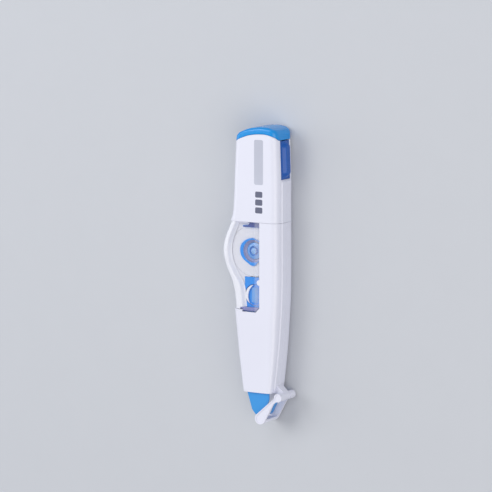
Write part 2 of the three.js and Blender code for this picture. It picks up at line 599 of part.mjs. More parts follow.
// A sprung arm whose tip rides on the take-up gear, so that the reels can't run back.
function backstopPawl() {
  const tip = { x: TAKE_UP.x + pitchRadius(TAKE_UP_TEETH) + 0.55, y: TAKE_UP.y + 0.2 };
  const arm = prism(
    [[8.1, -22.4], [8.6, -21.4], [tip.x + 0.5, tip.y + 0.5], [tip.x, tip.y], [tip.x + 0.4, tip.y - 0.3]],
    GEAR_BACK, GEAR_FRONT,
  );
  const eye = rod(PAWL_PEG.x, PAWL_PEG.y, 1.1, GEAR_BACK, GEAR_FRONT, 16);
  return cut(join(arm, eye), rod(PAWL_PEG.x, PAWL_PEG.y, PAWL_PEG.radius + 0.05, 0, FAR, 12));
}

// ---- Applicator head and tape ----
const HEAD_PLATES = [
  [-2.75, -50.2], [-2.75, -56.4], [-0.6, -63.2], [0.95, -64.95], [2.1, -65.7], [2.6, -65.9], [3.5, -65.8],
  [3.9, -65.3], [6.5, -60], [7, -58.8], [7, -50.2],
];
const HEAD_WEDGE = [
  [-1.7, -50.2], [-1.7, -56.2], [0.3, -62.7], [2.6, -66], [3.1, -66], [5.7, -59.8], [6.2, -58.2],
  [6.2, -50.2],
];

function applicatorHead() {
  const frontPlate = prism(HEAD_PLATES, TAPE_FRONT + 0.15, 11.35);
  const backPlate = prism(HEAD_PLATES, 2.35, TAPE_BACK - 0.15);
  const wedge = prism(HEAD_WEDGE, TAPE_BACK - 1, TAPE_FRONT + 0.4);
  const stem = box(0.4, 4.4, -50.3, -45.5, ARM_FRONT + 0.1, TAPE_FRONT);
  return join(frontPlate, backPlate, wedge, stem);
}

// A strip of tape standing on edge along a path of [x, y] points.
function strip(path) {
  const points = path.map(([x, y]) => new THREE.Vector2(x, y));
  const side = (sign) =>
    points.map((point, i) => {
      const back = points[Math.max(i - 1, 0)];
      const ahead = points[Math.min(i + 1, points.length - 1)];
      const along = ahead.clone().sub(back).normalize();
      return [point.x - (sign * along.y * RIBBON) / 2, point.y + (sign * along.x * RIBBON) / 2];
    });
  return prism([...side(-1), ...side(1).reverse()], TAPE_BACK + 0.1, TAPE_FRONT - 0.1);
}

const FEED_PATH = [[9.68, 0], [8.75, -41.5], [8.5, -44], [6.65, -58.2], [6.2, -59.75], [3.55, -65.75]];
const TIP_PATH = [[3.45, -65.95], [3.15, -66.4], [2.6, -66.4], [2.2, -65.85]];
const RETURN_PATH = [
  [2.1, -65.65], [-0.15, -62.75], [-2.1, -56.3], [-3.72, -45.2], [-3.75, -44], [-4.85, -17.8],
];

// ---- Head guard ----
function guardCheek(z0, z1) {
  const { x, y, radius } = GUARD_END;
  const arm = new THREE.Shape();
  arm.moveTo(10.4, -57.4);
  arm.lineTo(2.12, -64.66);
  arm.lineTo(x, y);
  arm.lineTo(5.57, -67.43);
  arm.quadraticCurveTo(7.55, -63.9, 9.05, -61);
  arm.quadraticCurveTo(9.9, -59.35, 11.2, -59);
  arm.lineTo(PIVOT.x, PIVOT.y);
  const knuckle = rod(PIVOT.x, PIVOT.y, GUARD_KNUCKLE, z0, z1);
  return join(prism(arm, z0, z1, 6), knuckle, rod(x, y, radius, z0, z1, 28));
}

function headGuard() {
  const { x, y, radius } = GUARD_END;
  const wedge = (from, to) => {
    const points = [[x, y]];
    for (let i = 0; i <= 8; i++) {
      const angle = THREE.MathUtils.degToRad(from + ((to - from) * i) / 8);
      points.push([x + 6 * Math.cos(angle), y + 6 * Math.sin(angle)]);
    }
    return prism(points, 0, THICKNESS);
  };
  const trough = ring(x, y, radius - 0.85, radius - 0.05, GUARD_BACK + 0.5, GUARD_FRONT - 0.5, 28);
  const barrels = [[GUARD_BACK, LUG.back - 0.15], [LUG.front + 0.15, GUARD_FRONT]].map(([z0, z1]) =>
    rod(PIVOT.x, PIVOT.y, GUARD_KNUCKLE, z0, z1),
  );
  const cheeks = [GUARD_BACK, GUARD_FRONT - GUARD_CHEEK].map((z) => guardCheek(z, z + GUARD_CHEEK));
  const [boreBack, boreFront] = [GUARD_BACK + PIN_COVER, GUARD_FRONT - PIN_COVER];
  const bore = rod(PIVOT.x, PIVOT.y, HINGE_PIN_RADIUS + 0.04, boreBack, boreFront);
  return join(trough.intersect(wedge(205, 345)), ...cheeks, ...barrels).subtract(bore);
}

const hingePin = () =>
  rod(PIVOT.x, PIVOT.y, HINGE_PIN_RADIUS, GUARD_BACK + PIN_COVER + 0.15, GUARD_FRONT - PIN_COVER - 0.15, 20);

// ---- The assembly ----
const roller = new THREE.Group();

function place(name, solid, finish) {
  const mesh = new THREE.Mesh(geometryOf(solid), new THREE.MeshStandardMaterial(finish));
  mesh.name = name;
  roller.add(mesh);
}

place("lower_case_front", lowerCaseFront(), WHITE);
place("lower_case_back", lowerCaseBack(), WHITE);
place("window_cover", windowCover(), CLEAR);
place("window_bezel", windowBezel(), WHITE);
place("rear_case_front", rearCaseFront(), WHITE);
place("rear_case_back", rearCaseBack(), WHITE);
place("end_cap", endCap(), BLUE);
place("release_button", releaseButton(), BLUE);
place("cartridge_frame", cartridgeFrame(), BLUE);
place("cartridge_cover", cartridgeCover(), BLUE);
place("cartridge_side_plate", cartridgeSidePlate(), FROSTED);
place("backstop_pawl", backstopPawl(), DEEP_BLUE);
place("applicator_head", applicatorHead(), BLUE);
place("drive_gear", driveGear(), DEEP_BLUE);
place("clutch_spring", clutchSpring(), STEEL);
place("supply_core", supplyCore(), BLUE);
place("supply_flange_back", supplyFlange(FLANGE_BACK, FLANGE_BACK + 0.4), FROSTED);
place("supply_flange_front", supplyFlange(10.7, 11.1), FROSTED);
place("tape_roll", tapeRoll(), TAPE_WHITE);
place("idler_gear", idlerGear(), DEEP_BLUE);
place("take_up_gear", takeUpGear(), DEEP_BLUE);
place("take_up_core", takeUpCore(), WHITE);
place("take_up_cap", takeUpCap(), BLUE);
place("used_liner_roll", usedLinerRoll(), TAPE_WHITE);
place("tape_feed_strand", strip(FEED_PATH), TAPE_WHITE);
place("tape_over_tip", strip(TIP_PATH), TAPE_WHITE);
place("liner_return_strand", strip(RETURN_PATH), TAPE_WHITE);
place("head_guard", headGuard(), WHITE);
place("guard_hinge_pin", hingePin(), STEEL);

export default roller;
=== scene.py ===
"""The looks of a refillable correction tape roller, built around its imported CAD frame.

Lengths are in millimetres here and become metres when a mesh is made.
"""

import json
import math

import bmesh
import bpy
import numpy as np
from mathutils import Matrix, Vector


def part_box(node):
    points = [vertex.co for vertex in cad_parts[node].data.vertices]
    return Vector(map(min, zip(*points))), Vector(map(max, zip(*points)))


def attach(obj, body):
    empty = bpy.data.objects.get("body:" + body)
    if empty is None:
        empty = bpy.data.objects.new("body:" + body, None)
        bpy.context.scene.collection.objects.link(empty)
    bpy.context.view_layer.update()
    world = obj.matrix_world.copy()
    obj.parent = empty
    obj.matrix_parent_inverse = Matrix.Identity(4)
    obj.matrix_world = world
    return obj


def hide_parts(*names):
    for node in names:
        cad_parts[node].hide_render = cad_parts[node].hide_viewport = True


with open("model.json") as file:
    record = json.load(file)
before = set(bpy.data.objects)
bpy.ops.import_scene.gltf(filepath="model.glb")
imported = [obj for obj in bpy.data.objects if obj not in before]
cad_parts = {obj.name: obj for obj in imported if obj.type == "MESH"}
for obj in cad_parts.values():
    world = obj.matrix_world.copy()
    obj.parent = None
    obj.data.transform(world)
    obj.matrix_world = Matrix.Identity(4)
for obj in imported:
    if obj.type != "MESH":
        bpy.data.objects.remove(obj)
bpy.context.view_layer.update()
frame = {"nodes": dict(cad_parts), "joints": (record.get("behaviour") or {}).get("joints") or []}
MM = 0.001

JOINTS = {joint["name"]: joint for joint in frame["joints"]}


def box_mm(node):
    """Lowest and highest corner of a CAD node, in millimetres."""
    low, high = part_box(node)
    return np.array(low) / MM, np.array(high) / MM


def axis_mm(joint):
    """Where a joint's axis stands, as (x, y) in millimetres."""
    x, y, _ = JOINTS[joint]["pos_m"]
    return x / MM, y / MM


# ---- Dimensions of the case, as in the CAD ----
COVER_LOW, COVER_HIGH = box_mm("window_cover")
SEAM = COVER_HIGH[1]
THICKNESS = box_mm("rear_case_front")[1][2]
MIDPLANE = THICKNESS / 2
NOSE_END = box_mm("lower_case_front")[0][1]
BOW_START = 36
BOW = [(-1, -0.3), (-0.76, 0.9), (-0.33, 2.43), (0.17, 3.12), (0.57, 3), (0.9, 1.95), (1, 0.8)]
REAR_END = 43.2
CAP_START = 43.3
CAP_END = 46
CAP_ROUNDING = 1.2
WALL = 1.2
EDGE_RADIUS = 3
NOSE_RADIUS = 1.6
NOSE_TAPER = 0.85
NOSE_START = -22
PART_GAP = 0.05
STRIP_TOP = 28.3
STRIP_PROUD = 0.42
STRIP_HALF = 3.4
STRIP_EDGE = (9.95, 10.2)  # heights where the strip's front edge slopes down to the wall
STRIP_END = 0.45  # length of the slope at its top end
BUTTON_LOW, BUTTON_HIGH = box_mm("release_button")

LEFT_WALL = [
    (-60, -3.8), (-50, -5.2), (-42, -6.3), (-28, -7.9), (-17, -9.05), (-12.5, -10.2), (-8, -12.25),
    (-4, -13.75), (0, -14.2), (4, -13.6), (8.5, -11.75), (13.5, -9.6), (18, -9), (30, -8.45),
    (43, -7.8), (50, -7.2),
]
RIGHT_WALL = [
    (-60, 7.9), (-42, 10.1), (-30, 11.1), (-15, 11.85), (20, 11.85), (30, 11.8), (43, 11.3), (50, 10.9),
]
BEZEL_EDGE = [
    (-26, -2.7), (-22.2, -2.95), (-17.2, -3.4), (-14.2, -3.8), (-12, -4.7), (-9.9, -6.1), (-8, -7.3),
    (-5.9, -8.4), (-3.7, -9.2), (-1, -9.7), (1.8, -9.65), (4.6, -9.05), (7.5, -7.85), (9.5, -6.9), (12, -6.2),
]

SUPPLY = axis_mm("supply_reel_turn")
TAKE_UP = axis_mm("take_up_reel_turn")
PIVOT = axis_mm("guard_swing")


def smooth_curve(points):
    """A smooth function through (position, value) points."""
    ys = np.array([p[0] for p in points], float)
    xs = np.array([p[1] for p in points], float)
    before = np.maximum(np.arange(len(ys)) - 1, 0)
    after = np.minimum(np.arange(len(ys)) + 1, len(ys) - 1)
    slopes = (xs[after] - xs[before]) / (ys[after] - ys[before])

    def value(y):
        i = np.clip(np.searchsorted(ys, y) - 1, 0, len(ys) - 2)
        span = ys[i + 1] - ys[i]
        t = np.clip((y - ys[i]) / span, 0, 1)
        return (
            (2 * t**3 - 3 * t**2 + 1) * xs[i]
            + (t**3 - 2 * t**2 + t) * span * slopes[i]
            + (3 * t**2 - 2 * t**3) * xs[i + 1]
            + (t**3 - t**2) * span * slopes[i + 1]
        )

    return value


left_wall = smooth_curve(LEFT_WALL)
right_wall = smooth_curve(RIGHT_WALL)
bezel_edge = smooth_curve(BEZEL_EDGE)
bow = smooth_curve(BOW)


def smoothstep(value, low, high):
    t = np.clip((value - low) / (high - low), 0, 1)
    return t * t * (3 - 2 * t)


def nose_share(y):
    return smoothstep(-y, -NOSE_START, -NOSE_END)


def edge_radius(y):
    return EDGE_RADIUS + (NOSE_RADIUS - EDGE_RADIUS) * nose_share(y)


def front_z(y):
    return THICKNESS - NOSE_TAPER * nose_share(y)


# ---- Mesh helpers ----
def new_object(name, vertices, faces, material, body):
    """An object from points in millimetres that rides on a CAD body."""
    mesh = bpy.data.meshes.new(name)
    mesh.from_pydata([Vector(v) * MM for v in vertices], [], faces)
    mesh.validate()
    obj = bpy.data.objects.new(name, mesh)
    bpy.context.scene.collection.objects.link(obj)
    mesh.materials.append(material)
    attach(obj, body)
    return obj


def grid(points, keep=None, flip=False):
    """Vertices and faces of a sheet from an array of rows, columns and coordinates."""
    rows, cols = points.shape[:2]
    index = -np.ones((rows, cols), int)
    faces = []
    for i in range(rows - 1):
        for j in range(cols - 1):
            if keep is not None and not keep[i][j]:
                continue
            face = [(i, j), (i + 1, j), (i + 1, j + 1), (i, j + 1)]
            faces.append(face[::-1] if flip else face)
    used = sorted({corner for face in faces for corner in face})
    for number, (i, j) in enumerate(used):
        index[i, j] = number
    return [points[i, j] for i, j in used], [[int(index[i, j]) for i, j in face] for face in faces]


def add_bevel(obj, width, segments=3, degrees=40):
    bevel = obj.modifiers.new("bevel", "BEVEL")
    bevel.width = width * MM
    bevel.segments = segments
    bevel.limit_method = "ANGLE"
    bevel.angle_limit = math.radians(degrees)
    bevel.miter_outer = "MITER_ARC"
    bevel.use_clamp_overlap = True
    return bevel


def finish_edges(obj, width, segments=3, degrees=40):
    """Rounded edges and smooth shading."""
    add_bevel(obj, width, segments, degrees)
    obj.data.polygons.foreach_set("use_smooth", [True] * len(obj.data.polygons))
    weighted = obj.modifiers.new("normals", "WEIGHTED_NORMAL")
    weighted.keep_sharp = True
    weighted.weight = 50
    return obj


def shell(name, points, material, body, keep=None, flip=False, wall=WALL, bevel=0.14):
    """A sheet with a wall behind it and rounded rims."""
    obj = new_object(name, *grid(points, keep, flip), material, body)
    solid = obj.modifiers.new("wall", "SOLIDIFY")
    solid.thickness = wall * MM
    solid.offset = -1
    solid.use_even_offset = True
    return finish_edges(obj, bevel)


def turned_data(x, y, profile, sides=96):
    """Vertices and faces of a turned solid, from (radius, z) points that run anticlockwise."""
    angles = np.linspace(0, 2 * math.pi, sides, endpoint=False)
    vertices, faces = [], []
    count = len(profile)
    for angle in angles:
        vertices += [(x + r * math.cos(angle), y + r * math.sin(angle), z) for r, z in profile]
    for i in range(sides):
        nxt = (i + 1) % sides
        for k in range(count):
            k2 = (k + 1) % count
            faces.append([i * count + k, nxt * count + k, nxt * count + k2, i * count + k2])
    return vertices, faces


def ring_profile(inner, outer, z0, z1):
    return [(inner, z0), (outer, z0), (outer, z1), (inner, z1)]


def prism_data(outline, z0, z1):
    """Vertices and faces of a prism over an anticlockwise outline."""
    count = len(outline)
    vertices = [(x, y, z0) for x, y in outline] + [(x, y, z1) for x, y in outline]
    faces = [list(range(count))[::-1], [count + k for k in range(count)]]
    faces += [[k, (k + 1) % count, count + (k + 1) % count, count + k] for k in range(count)]
    return vertices, faces


def merge(*parts):
    """One list of vertices and faces from several."""
    vertices, faces = [], []
    for more_vertices, more_faces in parts:
        start = len(vertices)
        vertices += list(more_vertices)
        faces += [[start + v for v in face] for face in more_faces]
    return vertices, faces


def arc(x, y, radius, start, end, steps):
    """Points on an arc, with angles in degrees."""
    angles = [math.radians(start + (end - start) * k / steps) for k in range(steps + 1)]
    return [(x + radius * math.cos(a), y + radius * math.sin(a)) for a in angles]


def bezier(a, b, c, steps=8):
    """Points on a quadratic curve after a, up to and including c."""
    ts = [(k + 1) / steps for k in range(steps)]
    return [
        tuple((1 - t) ** 2 * a[i] + 2 * t * (1 - t) * b[i] + t * t * c[i] for i in (0, 1)) for t in ts
    ]


def united(name, solids, material, body, bevel=0.12, segments=3, cuts=()):
    """One object that is the union of several closed solids, less the cuts."""
    data = [*solids, *cuts]
    first, *rest = [new_object(f"{name}_{i}", *solid, material, body) for i, solid in enumerate(data)]
    for number, tool in enumerate(rest, start=1):
        modifier = first.modifiers.new("join", "BOOLEAN")
        modifier.operation = "UNION" if number < len(solids) else "DIFFERENCE"
        modifier.solver = "EXACT"
        modifier.object = tool
    return bake_modifiers(name, first, rest, material, body, bevel, segments)


def bake_modifiers(name, first, tools, material, body, bevel, segments):
    """The evaluated mesh of first as a new object. Its tools are removed."""
    graph = bpy.context.evaluated_depsgraph_get()
    mesh = bpy.data.meshes.new_from_object(first.evaluated_get(graph))
    edit = bmesh.new()
    edit.from_mesh(mesh)
    bmesh.ops.remove_doubles(edit, verts=edit.verts, dist=1e-7)
    bmesh.ops.dissolve_limit(edit, angle_limit=math.radians(0.5), verts=edit.verts, edges=edit.edges)
    edit.to_mesh(mesh)
    edit.free()
    for obj in [first, *tools]:
        bpy.data.objects.remove(obj)
    obj = bpy.data.objects.new(name, mesh)
    bpy.context.scene.collection.objects.link(obj)
    mesh.materials.clear()
    mesh.materials.append(material)
    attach(obj, body)
    return finish_edges(obj, bevel, segments)


# ---- Materials ----
def plastic(name, color, roughness=0.3, variation=0.04, bump=0.02, scale=900, coat=0.0, sheen=0.0, **extra):
    """A moulded plastic: faint mottling in its colour and gloss, and a fine grain."""
    material = bpy.data.materials.new(name)
    material.use_nodes = True
    tree = material.node_tree
    shader = tree.nodes["Principled BSDF"]
    shader.inputs["Coat Weight"].default_value = coat
    for key, value in extra.items():
        shader.inputs[key.replace("_", " ")].default_value = value
    place = tree.nodes.new("ShaderNodeTexCoord")
    noise = tree.nodes.new("ShaderNodeTexNoise")
    noise.inputs["Scale"].default_value = scale
    noise.inputs["Detail"].default_value = 3
    tree.links.new(place.outputs["Object"], noise.inputs["Vector"])
    tint = tree.nodes.new("ShaderNodeMix")
    tint.data_type = "RGBA"
    tint.inputs["A"].default_value = (*[c * (1 - variation) for c in color], 1)
    tint.inputs["B"].default_value = (*[min(1, c * (1 + variation)) for c in color], 1)
    broad = tree.nodes.new("ShaderNodeTexNoise")
    broad.inputs["Scale"].default_value = 60
    tree.links.new(place.outputs["Object"], broad.inputs["Vector"])
    tree.links.new(broad.outputs["Fac"], tint.inputs["Factor"])
    tree.links.new(tint.outputs["Result"], shader.inputs["Base Color"])
    gloss = tree.nodes.new("ShaderNodeMapRange")
    gloss.inputs["To Min"].default_value = roughness * 0.85
    gloss.inputs["To Max"].default_value = roughness * 1.15
    tree.links.new(noise.outputs["Fac"], gloss.inputs["Value"])
    tree.links.new(gloss.outputs["Result"], shader.inputs["Roughness"])
    grain = tree.nodes.new("ShaderNodeBump")
    grain.inputs["Strength"].default_value = bump
    grain.inputs["Distance"].default_value = 0.0001
    tree.links.new(noise.outputs["Fac"], grain.inputs["Height"])
    tree.links.new(grain.outputs["Normal"], shader.inputs["Normal"])
    return material


REFLECTION_BAND_FROM, REFLECTION_BAND_TO = 1.2, 2.1


def clear_plastic(name, haze_share, painted_reflection_share, tint=(0.995, 0.996, 1)):
    """Clear moulding: lets light straight through, a little cloudy, and reflects at a glance. Its diffuse
    white share grows towards the cover's right side, a painted reflection band.
    """
    material = bpy.data.materials.new(name)
    material.use_nodes = True
    tree = material.node_tree
    tree.nodes.remove(tree.nodes["Principled BSDF"])
    out = tree.nodes["Material Output"]
    through = tree.nodes.new("ShaderNodeBsdfTransparent")
    through.inputs["Color"].default_value = (*tint, 1)
    gloss = tree.nodes.new("ShaderNodeBsdfGlossy")
    gloss.inputs["Color"].default_value = (1, 1, 1, 1)
    place = tree.nodes.new("ShaderNodeTexCoord")
    noise = tree.nodes.new("ShaderNodeTexNoise")
    noise.inputs["Scale"].default_value = 300
    tree.links.new(place.outputs["Object"], noise.inputs["Vector"])
    rough = tree.nodes.new("ShaderNodeMapRange")
    rough.inputs["To Min"].default_value = 0.04
    rough.inputs["To Max"].default_value = 0.09
    tree.links.new(noise.outputs["Fac"], rough.inputs["Value"])
    tree.links.new(rough.outputs["Result"], gloss.inputs["Roughness"])
    facing = tree.nodes.new("ShaderNodeLayerWeight")
    facing.inputs["Blend"].default_value = 0.5
    steep = tree.nodes.new("ShaderNodeMath")
    steep.operation = "POWER"
    steep.inputs[1].default_value = 4
    tree.links.new(facing.outputs["Facing"], steep.inputs[0])
    shine = tree.nodes.new("ShaderNodeMapRange")
    shine.inputs["To Min"].default_value = 0.02
    shine.inputs["To Max"].default_value = 0.3
    tree.links.new(steep.outputs["Value"], shine.inputs["Value"])
    mix = tree.nodes.new("ShaderNodeMixShader")
    tree.links.new(shine.outputs["Result"], mix.inputs["Fac"])
    tree.links.new(through.outputs["BSDF"], mix.inputs[1])
    tree.links.new(gloss.outputs["BSDF"], mix.inputs[2])
    haze_and_reflection = tree.nodes.new("ShaderNodeBsdfDiffuse")
    haze_and_reflection.inputs["Color"].default_value = (0.90, 0.91, 0.97, 1)
    cloudy_and_reflecting = tree.nodes.new("ShaderNodeMixShader")
    across = tree.nodes.new("ShaderNodeSeparateXYZ")
    tree.links.new(place.outputs["Object"], across.inputs["Vector"])
    # Painted reflection: across x the diffuse white share rises from the plain haze to a larger share.
    amount = tree.nodes.new("ShaderNodeMapRange")
    amount.interpolation_type = "SMOOTHSTEP"
    amount.inputs["From Min"].default_value = REFLECTION_BAND_FROM * MM
    amount.inputs["From Max"].default_value = REFLECTION_BAND_TO * MM
    amount.inputs["To Min"].default_value = haze_share
    amount.inputs["To Max"].default_value = painted_reflection_share
    tree.links.new(across.outputs["X"], amount.inputs["Value"])
    tree.links.new(amount.outputs["Result"], cloudy_and_reflecting.inputs["Fac"])
    tree.links.new(mix.outputs["Shader"], cloudy_and_reflecting.inputs[1])
    tree.links.new(haze_and_reflection.outputs["BSDF"], cloudy_and_reflecting.inputs[2])
    tree.links.new(cloudy_and_reflecting.outputs["Shader"], out.inputs["Surface"])
    return material


WHITE = plastic("white_shell", (0.82, 0.83, 0.94), 0.3, 0.012, 0.03, coat=0.25)
# The same white plastic as the shell, made lighter: painted light on the recessed rim lining, the take-up
# drum and the crescent.
WHITE_PAINTED_LIGHT = plastic("white_lightened_painted_light", (0.90, 0.91, 0.97), 0.35, 0.012, 0.03, coat=0.2)
BLUE = plastic("sky_blue_cap", (0.0, 0.29, 0.77), 0.25, 0.05, 0.03, coat=0.15)
DEEP = plastic("deep_blue_button", (0.004, 0.10, 0.45), 0.3, 0.05, 0.03, coat=0.05)
HEAD_BLUE = plastic("head_blue", (0.05, 0.32, 0.76), 0.32, 0.05, 0.03, coat=0.1)
FRAME_BLUE = plastic("cartridge_blue", (0.015, 0.29, 0.88), 0.32, 0.05, 0.03)
GEAR_BLUE = plastic("gear_blue", (0.03, 0.2, 0.6), 0.4, 0.05, 0.04)
CLEAR = clear_plastic("clear_window", 0.012, 0.12)
PRINT = plastic("grey_print", (0.54, 0.56, 0.66), 0.5, 0.12, 0.02)
PRINT_DARK = plastic("dark_grey_print", (0.13, 0.14, 0.21), 0.5, 0.08, 0.02)
SILL_SHADED_VIOLET = plastic("sill_painted_shade", (0.23, 0.24, 0.5), 0.4, 0.05, 0.03)
TAB_PAINTED_SHADOW = plastic("painted_shadow_on_tab", (0.055, 0.085, 0.30), 0.4, 0.05, 0.03)
BLUE_PAINTED_HIGHLIGHT = plastic("collar_highlight_blue", (0.16, 0.40, 0.82), 0.3, 0.05, 0.03, coat=0.3)
TIP_PAINTED_HIGHLIGHT = plastic("axle_tip_highlight_blue", (0.28, 0.5, 0.85), 0.25, 0.05, 0.03, coat=0.5)
HUB_PAINTED_SHADE = plastic("hub_floor_shaded_violet", (0.36, 0.38, 0.60), 0.4, 0.05, 0.03)
FROSTED = plastic("frosted_flange", (0.77, 0.775, 0.83), 0.45, 0.02, 0.05)
TAPE = plastic("tape_edge", (0.72, 0.73, 0.79), 0.8, 0.03, 0.2, scale=2500)
STEEL = plastic("spring_steel", (0.55, 0.56, 0.58), 0.3, 0.03, 0.05, Metallic=1.0)

# ---- Case shells ----
CORNER_STEPS = 10


def ladder(*stops):
    """Rising values from (value, parts to the next one) pairs."""
    values = []
    for (value, parts), (following, _) in zip(stops, stops[1:]):
        values += [value + (following - value) * k / parts for k in range(parts)]
    return values + [stops[-1][0]]


WALL_Z = ladder((MIDPLANE + PART_GAP, 4), (STRIP_EDGE[0], 1), (STRIP_EDGE[1], 1), (10.35, 1), (10.6, 0))


def strip_rise(y, z):
    """How far the raised strip stands out of the right wall."""
    up = 1 - smoothstep(z, *STRIP_EDGE)
    along = np.clip((STRIP_TOP - y) / STRIP_END, 0, 1)
    return STRIP_PROUD * up * along


def bowed(x, y):
    """The rear end bulges at the middle of its width."""
    rise = smoothstep(y, BOW_START, REAR_END)
    low, high = left_wall(y), right_wall(y)
    across = np.clip((x - (low + high) / 2) / ((high - low) / 2), -1, 1)
    return y + rise * bow(across)


def level(x, y):
    return y


def front_corner(y, inset):
    """Edge radius, and the height where the front edge's rounding begins."""
    radius = max(edge_radius(y) - inset, 0.4)
    return radius, front_z(y) - inset - radius


def right_part(y, inset=0):
    """Up the right wall and round its front edge, as (x, z)."""
    radius, start = front_corner(y, inset)
    high = right_wall(y) - inset
    wall = [(high + strip_rise(y, z), z) for z in np.minimum(WALL_Z, start)]
    return wall + arc(high - radius, start, radius, 0, 90, CORNER_STEPS)[1:]


def left_part(y, inset=0, low_z=MIDPLANE + PART_GAP):
    """Round the left front edge and down the left wall, as (x, z)."""
    radius, start = front_corner(y, inset)
    low = left_wall(y) + inset
    turn = arc(low + radius, start, radius, 90, 180, CORNER_STEPS)
    return turn + [(low, start + (low_z - start) * k / 4) for k in (1, 2, 3, 4)]


def flat_span(y, inset=0):
    """Right and left end of the flat front face."""
    radius, _ = front_corner(y, inset)
    return right_wall(y) - inset - radius, left_wall(y) + inset + radius


def between(a, b, parts):
    """Values strictly between a and b."""
    return [a + (b - a) * k / parts for k in range(1, parts)]


def mirrored(points):
    """The same sheet on the back half."""
    turned_over = points.copy()
    turned_over[:, :, 2] = THICKNESS - turned_over[:, :, 2]
    return turned_over


def sheet_of(ys, row, warp):
    """Rows of points from row(y), a list of (x, z), each moved along y by warp(x, y)."""
    return np.array([[(x, warp(x, y), z) for x, z in row(y)] for y in ys], float)


# ---- Lower case, window cover and bezel ----
WINDOW_GAP = 0.09
COVER_WALL = 0.5
SILL_Y = (-23.7, -22.2)
SILL_LEFT = -6.2
LINING_INSET = 0.58
LINING_SLOPE = 1.5
LINING_FOOT = 11.5
WINDOW_RIGHT = COVER_HIGH[0]
WINDOW_LOW = COVER_LOW[1]
WINDOW_LOW_LEFT = -23.1
WINDOW_STEP_X = -4
WINDOW_CHAMFER = 1.6
BUMP_Y = -12.1
BUMP_RADIUS = 1.15


def window_edge(y):
    """The clear cover's right edge at one y."""
    chamfer_top = WINDOW_LOW + WINDOW_CHAMFER
    if y < chamfer_top:
        return WINDOW_RIGHT - (chamfer_top - max(y, WINDOW_LOW))
    return WINDOW_RIGHT - math.sqrt(max(BUMP_RADIUS**2 - (y - BUMP_Y) ** 2, 0))


def window_rows(gap):
    """Rows from the window's lower end to the seam, finer where its edge bends."""
    bump = [BUMP_Y + BUMP_RADIUS * math.sin(math.radians(a)) for a in range(-90, 91, 15)]
    start = [WINDOW_LOW + gap, WINDOW_LOW_LEFT + gap]
    lower = ladder((start[0], 3), (start[1], 3), (WINDOW_LOW + WINDOW_CHAMFER, 8), (bump[0], 0))
    return lower[:-1] + bump + ladder((bump[-1], 22), (SEAM, 0))[1:]


def cover_columns(y, gap):
    """x of the cover's right edge and of the step in its lower edge."""
    if y >= WINDOW_LOW - WINDOW_GAP:
        return window_edge(y) + gap, WINDOW_STEP_X
    high, low = flat_span(WINDOW_LOW)
    here_high, here_low = flat_span(y)
    grow = (here_high - here_low) / (high - low)
    edge = window_edge(WINDOW_LOW) + gap
    return here_low + (edge - low) * grow, here_low + (WINDOW_STEP_X - low) * grow


RIGHT_PARTS, MIDDLE_PARTS, LEFT_PARTS = 6, 8, 3


def lower_row(y):
    edge, step = cover_columns(y, WINDOW_GAP)
    high, low = flat_span(y)
    top = front_z(y)
    xs = between(high, edge, RIGHT_PARTS) + [edge] + between(edge, step, MIDDLE_PARTS)
    xs += [step] + between(step, low, LEFT_PARTS)
    return right_part(y) + [(x, top) for x in xs] + left_part(y)


def cover_row(y):
    edge, step = cover_columns(y, -WINDOW_GAP / 2)
    _, low = flat_span(y)
    top = front_z(y)
    xs = [edge] + between(edge, step, MIDDLE_PARTS) + [step] + between(step, low, LEFT_PARTS)
    return [(x, top) for x in xs] + left_part(y)


def lower_front():
    ys = ladder((NOSE_END, 30), (WINDOW_LOW - WINDOW_GAP, 0))[:-1] + window_rows(-WINDOW_GAP)
    points = sheet_of(ys, lower_row, level)
    edge = len(right_part(0)) + RIGHT_PARTS - 1
    step = edge + MIDDLE_PARTS
    keep = np.ones((len(ys) - 1, points.shape[1] - 1), bool)
    for i in range(len(ys) - 1):
        middle = (ys[i] + ys[i + 1]) / 2
        if middle > WINDOW_LOW - WINDOW_GAP:
            keep[i, edge:step] = False
        if middle > WINDOW_LOW_LEFT - WINDOW_GAP:
            keep[i, edge:] = False
    return points, keep


def window_cover():
    ys = window_rows(WINDOW_GAP / 2)
    points = sheet_of(ys, cover_row, level)
    keep = np.ones((len(ys) - 1, points.shape[1] - 1), bool)
    for i in range(len(ys) - 1):
        if (ys[i] + ys[i + 1]) / 2 < WINDOW_LOW_LEFT + WINDOW_GAP / 2:
            keep[i, MIDDLE_PARTS:] = False
    return points, keep


def plain_row(y, inset=0):
    high, low = flat_span(y, inset)
    flat = [(x, front_z(y) - inset) for x in between(high, low, 12)]
    return right_part(y, inset) + flat + left_part(y, inset)


def bezel_row(y):
    inset = LINING_INSET
    _, low = flat_span(y, inset)
    edge = float(bezel_edge(y)) + 0.05 if y > SILL_Y[1] - 0.05 else low + 0.3
    top = front_z(y) - inset
    crest = max(edge - LINING_SLOPE, low + 0.15)
    rise = top - LINING_FOOT
    slope = [(edge + (crest - edge) * t, LINING_FOOT + rise * smoothstep(t, 0, 1.15) / smoothstep(1, 0, 1.15))
             for t in (0, 0.17, 0.33, 0.5, 0.67, 0.83)]
    xs = [crest] + between(crest, low, 5)
    return slope + [(x, top) for x in xs] + left_part(y, inset, MIDPLANE + 0.25)


points, keep = lower_front()
part = shell("lower_shell_front", points, WHITE, "case", keep)
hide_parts("lower_case_front")

points, keep = window_cover()
part = shell("clear_cover", points, CLEAR, "case", keep, wall=COVER_WALL, bevel=0.06)
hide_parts("window_cover")

ys = ladder((NOSE_END, 30), (NOSE_START, 30), (SEAM, 0))
part = shell("lower_shell_back", mirrored(sheet_of(ys, plain_row, level)), WHITE, "case", flip=True)
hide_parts("lower_case_back")

